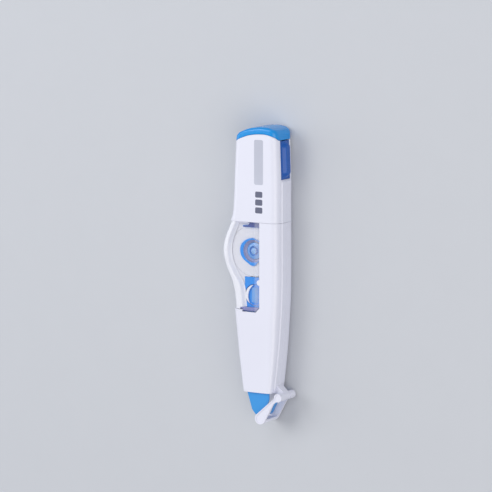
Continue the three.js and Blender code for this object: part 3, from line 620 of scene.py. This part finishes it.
ys = ladder((WINDOW_LOW_LEFT + 0.1, 3), (SILL_Y[1] - 0.08, 1), (SILL_Y[1], 30), (SEAM - 0.1, 0))
part = shell("rim_lining", sheet_of(ys, bezel_row, level), WHITE_PAINTED_LIGHT, "case", wall=0.3, bevel=0.03)
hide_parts("window_bezel")

SLEEVE_INSET, SLEEVE_WALL = 1.35, 0.9
NECK_INSET = 0.8
SLEEVE_LOW, SLEEVE_HIGH = 10.5, 15.5
SLEEVE_WINDOW = (-1.5, 4.2)
LIP_LOW, LIP_HIGH = 11.3, 12.7


def sleeve_row(y):
    """The sleeve's wall, which has no raised strip on it, and its wider neck inside the case."""
    inset = SLEEVE_INSET if y > SEAM else NECK_INSET
    radius, start = front_corner(y, inset)
    high, low = right_wall(y) - inset, left_wall(y) + inset
    far, edge = SLEEVE_WINDOW
    row = [(high, z) for z in np.minimum(WALL_Z, start)]
    row += arc(high - radius, start, radius, 0, 90, CORNER_STEPS)[1:]
    flat = [*between(high - radius, edge, 4), edge, 1, far, *between(far, low + radius, 3)]
    return row + [(x, front_z(y) - inset) for x in flat] + left_part(y, inset)


ys = ladder(
    (SLEEVE_LOW, 2), (LIP_LOW, 1), (SEAM - 0.04, 1), (SEAM + 0.06, 3), (LIP_HIGH, 6), (SLEEVE_HIGH, 0),
)
points = sheet_of(ys, sleeve_row, level)
part = shell("rear_sleeve_back", mirrored(points), WHITE, "case", flip=True, wall=SLEEVE_WALL)
keep = np.ones((len(ys) - 1, points.shape[1] - 1), bool)
for i, low in enumerate(ys[:-1]):
    for j in range(points.shape[1] - 1):
        middle = (points[i, j, 0] + points[i, j + 1, 0]) / 2
        on_lip = middle < SLEEVE_WINDOW[0] and LIP_LOW - 0.01 < low < LIP_HIGH - 0.01
        keep[i, j] = middle > SLEEVE_WINDOW[1] or on_lip
part = shell("rear_sleeve_front", points, WHITE, "case", keep, wall=SLEEVE_WALL)

# A thin deep violet plate over the tab: painted shadow where the rear case shades the tab.
tab = [(-4.3, 9.5), (3.3, 9.5), (3.3, 11.55), (-1.05, 11.55), (-1.25, 11.1), (-2.05, 10.2), (-4.3, 9.95)]
part = finish_edges(new_object("tab_shadow_plate", *prism_data(tab, 12.08, 12.15), TAB_PAINTED_SHADOW, "case"), 0.03)

tongue = [(10, 14.7), (10.5, 14.7), (10.5, 25), (10, 25)]
part = finish_edges(new_object("latch_tongue", *prism_data(tongue, 4.1, 9.5), WHITE, "case"), 0.12)

# The sill's violet is a blue darkened with painted shade, where the case's lower window edge shades it.
low, high = SILL_Y
sill = [(SILL_LEFT, low + 0.8), (-4.2, low + 0.6), (-3.9, low), (WINDOW_RIGHT - 1.9, low),
        (WINDOW_RIGHT - 0.5, high), (SILL_LEFT, high)]
part = new_object("window_sill", *prism_data(sill, 11.6, 12.6), SILL_SHADED_VIOLET, "case")
finish_edges(part, 0.3)

# ---- Rear case, end cap and button ----
HOLE_LOW = 28.55
HOLE_FRONT = 10.35

ys = ladder(
    (SEAM + 0.09, 16), (STRIP_TOP - STRIP_END, 1), (STRIP_TOP, 1), (HOLE_LOW, 8), (BOW_START, 14),
    (REAR_END, 0),
)
points = sheet_of(ys, plain_row, bowed)
keep = np.ones((len(ys) - 1, points.shape[1] - 1), bool)
first_kept = WALL_Z.index(HOLE_FRONT)
for i in range(len(ys) - 1):
    if ys[i] > HOLE_LOW - 0.01:
        keep[i, :first_kept] = False
part = shell("rear_shell_front", points, WHITE, "rear_case", keep)
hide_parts("rear_case_front")
part = shell("rear_shell_back", mirrored(points), WHITE, "rear_case", keep, flip=True)
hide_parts("rear_case_back")


def cap_ring(y, inset):
    """The front half of a section, up the right wall, over the top and down the left wall."""
    radius, start = front_corner(y, inset)
    high, low = right_wall(y) - inset, left_wall(y) + inset
    top = front_z(y) - inset
    right = [(high, MIDPLANE + (start - MIDPLANE) * k / 4) for k in range(4)]
    right += arc(high - radius, start, radius, 0, 90, CORNER_STEPS)
    flat = [(x, top) for x in between(high - radius, low + radius, 20)]
    left = arc(low + radius, start, radius, 90, 180, CORNER_STEPS)
    left += [(low, start + (MIDPLANE - start) * k / 4) for k in (1, 2, 3)]
    return right + flat + left


def domed_cap():
    """The blue end: a rounded, bowed dome closed at both ends."""
    steps = 10
    stations = [(CAP_START, 0), (CAP_START + 0.5, 0)]
    for k in range(steps + 1):
        angle = k / steps * math.pi / 2
        inset = CAP_ROUNDING * (1 - math.cos(angle))
        stations.append((CAP_END - CAP_ROUNDING * (1 - math.sin(angle)), inset))
    rings = []
    for y, inset in stations:
        rings.append([(x, float(bowed(x, y)), z) for x, z in cap_ring(y, inset)])
    count = len(rings[0])
    vertices, faces = [], []
    for ring in rings:
        vertices += ring + [(x, y, THICKNESS - z) for x, y, z in ring]
    loop = list(range(count)) + [2 * count - 1 - k for k in range(count)]
    for i in range(len(rings) - 1):
        low, high = i * 2 * count, (i + 1) * 2 * count
        for k in range(2 * count):
            a, b = loop[k], loop[(k + 1) % (2 * count)]
            faces.append([low + b, low + a, high + a, high + b])
    for base, order in ((0, 1), ((len(rings) - 1) * 2 * count, -1)):
        for k in range(count - 1):
            face = [base + k, base + k + 1, base + count + k + 1, base + count + k]
            faces.append(face[::order])
    return vertices, faces


def weld(obj):
    """Joins doubled points and turns every face outwards."""
    edit = bmesh.new()
    edit.from_mesh(obj.data)
    bmesh.ops.remove_doubles(edit, verts=edit.verts, dist=1e-6)
    bmesh.ops.dissolve_degenerate(edit, edges=edit.edges, dist=1e-7)
    bmesh.ops.recalc_face_normals(edit, faces=edit.faces)
    edit.to_mesh(obj.data)
    edit.free()
    return obj


part = weld(new_object("end_dome", *domed_cap(), BLUE, "rear_case"))
finish_edges(part, 0.2)
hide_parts("end_cap")

BUTTON_Y = (BUTTON_LOW[1] + 9.7, REAR_END - 0.25)
PAD_HEIGHT = BUTTON_HIGH[0] - 11.75
PAD_MARGINS = (3.2, 2.6)  # from the button's lower and upper end to the pad's end curves
PAD_HALF, PAD_SLOPE = 2.75, 1.5


def button_sheet():
    """The button's face: flush with the wall, with a raised thumb pad."""
    low, high = BUTTON_Y
    ys = ladder((low, 70), (high, 0))
    zs = ladder((MIDPLANE - STRIP_HALF, 32), (MIDPLANE + STRIP_HALF, 0))
    points = np.zeros((len(ys), len(zs), 3))
    for i, y in enumerate(ys):
        for j, z in enumerate(zs):
            along = max(low + PAD_MARGINS[0] - y, y - (high - PAD_MARGINS[1]), 0)
            inside = PAD_HALF - math.hypot(along, z - MIDPLANE)
            pad = PAD_HEIGHT * smoothstep(inside, 0, PAD_SLOPE)
            points[i, j] = (right_wall(y) + pad, bowed(right_wall(y), y), z)
    return points


part = shell("thumb_button", button_sheet(), DEEP, "button", bevel=0.18, wall=1.2)
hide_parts("release_button")

PRINT_BAND = (1.5, 5.5, 26.6, 44.2)
PRINT_BARS = (2.0, 5.2, 15.0, 24.3, 3)
PRINT_Z = (THICKNESS - 0.05, THICKNESS + 0.015)


def rounded_bar(left, right, low, high, radius):
    """A plain printed patch with round corners."""
    outline = []
    for x, y, start in (
        (right - radius, high - radius, 0), (left + radius, high - radius, 90),
        (left + radius, low + radius, 180), (right - radius, low + radius, 270),
    ):
        outline += arc(x, y, radius, start, start + 90, 6)
    return prism_data(outline, *PRINT_Z)


def print_bars(left, right, low, high, count):
    """A row of plain pads printed along the case."""
    pitch = (high - low) / count
    pads = [(low + pitch * (k + 0.12), low + pitch * (k + 0.88)) for k in range(count)]
    return merge(*[rounded_bar(left, right, start, end, 0.5) for start, end in pads])


part = new_object("printed_band", *rounded_bar(*PRINT_BAND, 0.7), PRINT, "rear_case")
part = new_object("printed_bars", *print_bars(*PRINT_BARS), PRINT_DARK, "rear_case")

# ---- Head, tape and guard ----
HEAD_LOW, HEAD_HIGH = box_mm("applicator_head")
HEAD_PLATE = [
    (-2.75, -50.2), (-2.75, -56.4), (-0.6, -63.2), (0.95, -64.95), (2.1, -65.7), (2.6, -65.9), (3.5, -65.8),
    (3.9, -65.3), (6.5, -60), (7, -58.8), (7, -50.2),
]
HEAD_WEDGE = [
    (-1.7, -50.2), (-1.7, -56.2), (0.3, -62.7), (2.6, -66), (3.1, -66), (5.7, -59.8), (6.2, -58.2),
    (6.2, -50.2),
]
part = united(
    "tip_head",
    [
        prism_data(HEAD_PLATE, 10.75, HEAD_HIGH[2]),
        prism_data(HEAD_WEDGE, 3.6, 11),
        prism_data(HEAD_PLATE, HEAD_LOW[2], 4.45),
        prism_data([(0.4, -50.3), (4.4, -50.3), (4.4, -45.5), (0.4, -45.5)], 3.6, 10.6),
    ],
    HEAD_BLUE, "case", bevel=0.3,
)
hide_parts("applicator_head")

GUARD_LOW, GUARD_HIGH = box_mm("head_guard")
BULB = (3.6, -66.35)
BULB_RADIUS = 2.25
KNUCKLE = 1.65
CHEEK = 1.0
RIM = 0.5
RECESS = 0.28


def drop_outline(shrink):
    """The cheek's outline: a knuckle, an arm that widens, and a round end."""
    px, py = PIVOT
    points = arc(*BULB, BULB_RADIUS - shrink, 131, 331, 36)
    near, far = (9.05 - shrink, -61 + shrink * 0.3), (11.2 - shrink * 0.3, -59 + shrink)
    points += bezier(points[-1], (7.55 - shrink, -63.9 + shrink * 0.3), near, 10)
    points += bezier(near, (9.9 - shrink * 0.8, -59.35 + shrink * 0.5), far, 6)
    return points + arc(px, py, KNUCKLE - shrink, 262, 552, 36)


def sector(x, y, inner, outer, start, end, z0, z1, steps=24):
    outline = arc(x, y, outer, start, end, steps) + arc(x, y, inner, end, start, steps)
    return prism_data(outline, z0, z1)


def disc_data(x, y, radius, z0, z1, sides=48):
    return prism_data(arc(x, y, radius, 0, 360, sides)[:-1], z0, z1)


low_z, high_z = GUARD_LOW[2], GUARD_HIGH[2]
outline = drop_outline(0)
face = drop_outline(RIM)
part = united(
    "swing_guard",
    [
        prism_data(outline, high_z - CHEEK, high_z),
        prism_data(outline, low_z, low_z + CHEEK),
        disc_data(*PIVOT, KNUCKLE - 0.001, 8.95, high_z - 0.3),
        disc_data(*PIVOT, KNUCKLE - 0.001, low_z + 0.3, 4.65),
        sector(*BULB, BULB_RADIUS - 0.85, BULB_RADIUS - 0.05, 205, 345, low_z + 0.4, high_z - 0.4),
    ],
    WHITE, "guard", bevel=0.12,
    cuts=[prism_data(face, high_z - RECESS, high_z + 1), prism_data(face, low_z - 1, low_z + RECESS)],
)
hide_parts("head_guard")

LUG = [(7.9, -55.85), (PIVOT[0] - 1.2, PIVOT[1] - 0.9), (PIVOT[0] + 1.2, PIVOT[1] + 0.9), (8.6, -52.4)]
part = united(
    "guard_lug",
    [prism_data(LUG, 4.8, 8.8), disc_data(*PIVOT, 1.5, 4.8, 8.8)],
    WHITE, "case", bevel=0.15,
)

# ---- Reels, gears and cartridge ----
FLANGE_LOW, FLANGE_HIGH = box_mm("supply_flange_front")
CORE_LOW, CORE_HIGH = box_mm("supply_core")
HUB_BORE, HUB_WALL, HUB_RIM_BORE = 4.2, 4.65, 4.5
HUB_RIM_HEIGHT = 0.5
DISC_BORE = 4.72  # of both flanges and the tape, just clear of the hub
FRONT_DISC, BACK_DISC, TAPE_EDGE = 10.14, 10, 9.3  # radii
LINER_BORE, LINER_EDGE = 4.2, 4.9
SHELF = {"inner": 9.4, "outer": 10.6, "start": 100, "end": 262, "z0": 10.3, "z1": 10.62}

# Turned outlines as (radius, z).
FUNNEL = [
    (3.42, 9.75), (4.18, 9.75), (4.18, 10.62), (4.49, 10.62), (4.49, 11.6), (4.4, 11.6), (4.2, 10.75),
    (3.42, 10.2),
]
AXLE_TIP = [
    (0.001, 10.95), (1.2, 10.95), (1.2, 11.15), (0.85, 11.3), (0.55, 11.34), (0.45, 11.24), (0.001, 11.24),
]

# The hub rim's radius against the angle in degrees.
HUB_RADIUS = smooth_curve([
    (-180, 5.95), (-163, 5.85), (-146, 5.65), (-131, 5.45), (-116, 5.42), (-102, 5.78), (-90, 5.86),
    (-82, 5.76), (-77, 5.5), (-72, 5), (-62, 4.75), (-30, 4.75), (-10, 4.8), (10, 5.1), (30, 5.6), (46, 5.6),
    (58, 5), (68, 4.75), (78, 4.85), (84, 5.05), (92, 5.14), (111, 5.22), (127, 5.42), (145, 5.73),
    (160, 5.95), (180, 5.95),
])


def lobed_ring(x, y, inner, z0, z1, sides=180):
    """A ring whose outer edge swells and dips."""
    outer, bore = [], []
    for k in range(sides):
        angle = 360 * k / sides - 180
        radius = float(HUB_RADIUS(angle))
        turn = (math.cos(math.radians(angle)), math.sin(math.radians(angle)))
        outer.append((x + radius * turn[0], y + radius * turn[1]))
        bore.append((x + inner * turn[0], y + inner * turn[1]))
    rings = ((bore, z0), (outer, z0), (outer, z1), (bore, z1))
    vertices = [(*point, z) for outline, z in rings for point in outline]
    faces = []
    for r in range(4):
        a, b = r * sides, (r + 1) % 4 * sides
        faces += [[a + k, a + (k + 1) % sides, b + (k + 1) % sides, b + k] for k in range(sides)]
    return vertices, faces


def add_turned(name, centre, profiles, material, body, replaced, bevel=0.08, sides=96):
    data = merge(*[turned_data(*centre, profile, sides) for profile in profiles])
    obj = weld(new_object(name, *data, material, body))
    finish_edges(obj, bevel, 2)
    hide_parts(*replaced)
    return obj


core = merge(
    turned_data(*SUPPLY, ring_profile(HUB_BORE, HUB_WALL, CORE_LOW[2], 10.6)),
    lobed_ring(*SUPPLY, HUB_RIM_BORE, CORE_HIGH[2] - HUB_RIM_HEIGHT, CORE_HIGH[2]),
)
part = finish_edges(weld(new_object("supply_hub", *core, FRAME_BLUE, "supply_reel")), 0.12)
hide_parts("supply_core")

part = new_object("plate_shelf", *sector(*SUPPLY, **SHELF, steps=60), FROSTED, "case")
finish_edges(part, 0.05)
# The funnel's grey violet is painted shade: white plastic darkened where it lies down in the hub's recess.
part = new_object("hub_funnel", *turned_data(*SUPPLY, FUNNEL), HUB_PAINTED_SHADE, "supply_reel")
finish_edges(weld(part), 0.05)
# The tip is a lighter blue than the frame: a painted highlight on the axle's end.
part = new_object("axle_tip", *turned_data(*SUPPLY, AXLE_TIP, 48), TIP_PAINTED_HIGHLIGHT, "case")
finish_edges(weld(part), 0.04)
add_turned(
    "supply_disc_front", SUPPLY, [ring_profile(DISC_BORE, FRONT_DISC, FLANGE_LOW[2], FLANGE_HIGH[2])],
    FROSTED, "supply_reel", ["supply_flange_front"], bevel=0.03,
)
low, high = box_mm("supply_flange_back")
add_turned(
    "supply_disc_back", SUPPLY, [ring_profile(DISC_BORE, BACK_DISC, low[2], high[2])],
    FROSTED, "supply_reel", ["supply_flange_back"],
)
low, high = box_mm("tape_roll")
add_turned(
    "wound_tape", SUPPLY, [ring_profile(DISC_BORE, TAPE_EDGE, low[2], high[2])],
    TAPE, "supply_reel", ["tape_roll"], bevel=0.03,
)
low, high = box_mm("take_up_core")
add_turned(
    "take_up_drum", TAKE_UP,
    [[(2.2, low[2]), (5.3, low[2]), (5.3, low[2] + 0.4), (4.15, low[2] + 0.4), (4.15, 10.6), (4, 10.6),
      (3.95, 9.5), (2.2, 9.5)]],
    WHITE_PAINTED_LIGHT, "take_up_reel", ["take_up_core"],
)
low, high = box_mm("used_liner_roll")
add_turned(
    "wound_liner", TAKE_UP, [ring_profile(LINER_BORE, LINER_EDGE, low[2], high[2])],
    TAPE, "take_up_reel", ["used_liner_roll"], bevel=0.03,
)


# A white crescent fixed to the case over the take-up cup's left lip: a painted highlight where the lip's
# rounded inner edge would catch the light.
HIGHLIGHT_CRESCENT = {"middle": 167, "half": 66, "outer": 4.1, "inner": 5.5, "shift": 2.5}
HIGHLIGHT_CRESCENT_ASIDE = 0.3
CAP_RADIUS, STEM_RADIUS = 4.14, 2
CAP_BACK, CAP_FRONT = 10.62, 10.86
RIDGE = [(-1.5, 10.8), (1.5, 10.8), (1.5, 10.88), (0.45, 11.3), (-0.45, 11.3), (-1.5, 10.88)]  # (x, z)
RIDGE_HALF_LENGTH = 3


def crescent(x0, y0, middle, half, outer, inner, shift):
    """A crescent round a centre whose thick part lies at the angle middle."""
    cx = x0 - shift * math.cos(math.radians(middle))
    cy = y0 - shift * math.sin(math.radians(middle))
    outline = arc(x0, y0, outer, middle - half, middle + half, 48)
    ends = [math.degrees(math.atan2(y - cy, x - cx)) % 360 for x, y in (outline[-1], outline[0])]
    return outline + arc(cx, cy, inner, *ends, 48)[1:-1]


painted_highlight = prism_data(crescent(TAKE_UP[0] + HIGHLIGHT_CRESCENT_ASIDE, TAKE_UP[1], **HIGHLIGHT_CRESCENT), 11.2, 11.6)
part = finish_edges(new_object("take_up_highlight_crescent", *painted_highlight, WHITE_PAINTED_LIGHT, "case"), 0.05)

low, high = box_mm("take_up_cap")
x, y = TAKE_UP
stem = disc_data(x, y, STEM_RADIUS, low[2], 10.7)
disc = disc_data(x, y, CAP_RADIUS, CAP_BACK, CAP_FRONT, 96)
part = united("winding_cap", [disc, stem], FRAME_BLUE, "take_up_reel", bevel=0.12)
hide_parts("take_up_cap")
# The winding bar is a lighter blue than its cap: a painted highlight along the ridge.
vertices, faces = prism_data(RIDGE, -RIDGE_HALF_LENGTH, RIDGE_HALF_LENGTH)
part = new_object("winding_bar", [(x + a, y + c, b) for a, b, c in vertices], faces, BLUE_PAINTED_HIGHLIGHT, "take_up_reel")
finish_edges(weld(part), 0.12)


def polish(node, material, width=0.08):
    """A CAD node shown as it is, with rounded edges and its own finish."""
    obj = frame["nodes"][node]
    obj.data.materials.clear()
    obj.data.materials.append(material)
    joined = obj.modifiers.new("weld", "WELD")
    joined.merge_threshold = 1e-6
    flat = obj.modifiers.new("flat", "DECIMATE")
    flat.decimate_type = "DISSOLVE"
    flat.angle_limit = math.radians(0.5)
    return finish_edges(obj, width, 2)


# The drive gear takes the lighter blue: a painted highlight on its lit collar.
for node, material in (
    ("cartridge_frame", FRAME_BLUE), ("cartridge_cover", FRAME_BLUE), ("cartridge_side_plate", FROSTED),
    ("backstop_pawl", GEAR_BLUE), ("drive_gear", BLUE_PAINTED_HIGHLIGHT), ("clutch_spring", STEEL),
    ("idler_gear", GEAR_BLUE), ("take_up_gear", GEAR_BLUE), ("tape_feed_strand", TAPE),
    ("tape_over_tip", TAPE), ("liner_return_strand", TAPE), ("guard_hinge_pin", STEEL),
):
    polish(node, material)

# ---- Floor, light and camera ----
FLOOR_HALF = 3  # metres
FLOOR_DROP = 0.0002
floor = bpy.data.meshes.new("floor")
corners = [(-1, -1), (1, -1), (1, 1), (-1, 1)]
floor.from_pydata([(x * FLOOR_HALF, y * FLOOR_HALF, 0) for x, y in corners], [], [(0, 1, 2, 3)])
floor_object = bpy.data.objects.new("floor", floor)
bpy.context.scene.collection.objects.link(floor_object)
floor.materials.append(plastic("floor_paper", (0.60, 0.62, 0.66), 0.85, 0.01, 0.02, scale=200))
floor_object.location.z = -FLOOR_DROP


def add_light(name, position, size, power, color=(1, 1, 1)):
    light = bpy.data.lights.new(name, "AREA")
    light.size = size
    light.energy = power
    light.color = color
    obj = bpy.data.objects.new(name, light)
    obj.location = position
    obj.rotation_mode = "QUATERNION"
    obj.rotation_quaternion = (-Vector(position)).to_track_quat("-Z", "Y")
    bpy.context.scene.collection.objects.link(obj)


add_light("key", (-0.55, 0.35, 0.9), 0.6, 4.1)
add_light("side", (-0.95, 0.05, 0.4), 0.5, 1.2, (0.95, 0.97, 1))
add_light("fill", (0.75, -0.2, 0.7), 0.8, 3.7, (1, 0.965, 0.925))
add_light("top", (0.0, 0.6, 0.8), 0.5, 1.3)

world = bpy.data.worlds.new("studio")
bpy.context.scene.world = world
world.use_nodes = True
world.node_tree.nodes["Background"].inputs["Color"].default_value = (0.93, 0.95, 1, 1)
world.node_tree.nodes["Background"].inputs["Strength"].default_value = 0.45
bpy.context.scene.view_settings.view_transform = "Standard"

AZIMUTH, TILT = math.radians(30), math.radians(8)
towards = Vector((math.sin(AZIMUTH) * math.cos(TILT), math.sin(TILT), math.cos(AZIMUTH) * math.cos(TILT)))
right = Vector((math.cos(AZIMUTH), 0, -math.sin(AZIMUTH)))
up = towards.cross(right)
DISTANCE, LENS = 1.2, 224
HUB_HEIGHT = 0.0121
ASIDE, ABOVE = 0.0026, 0.0021  # from the hub to the middle of the picture
camera_data = bpy.data.cameras.new("camera")
camera_data.lens = LENS
camera = bpy.data.objects.new("camera", camera_data)
bpy.context.scene.collection.objects.link(camera)
hub = Vector((SUPPLY[0] * MM, SUPPLY[1] * MM, HUB_HEIGHT))
camera.location = hub + towards * DISTANCE - right * ASIDE + up * ABOVE
camera.rotation_mode = "QUATERNION"
camera.rotation_quaternion = Matrix((right, up, towards)).transposed().to_quaternion()
bpy.context.scene.camera = camera
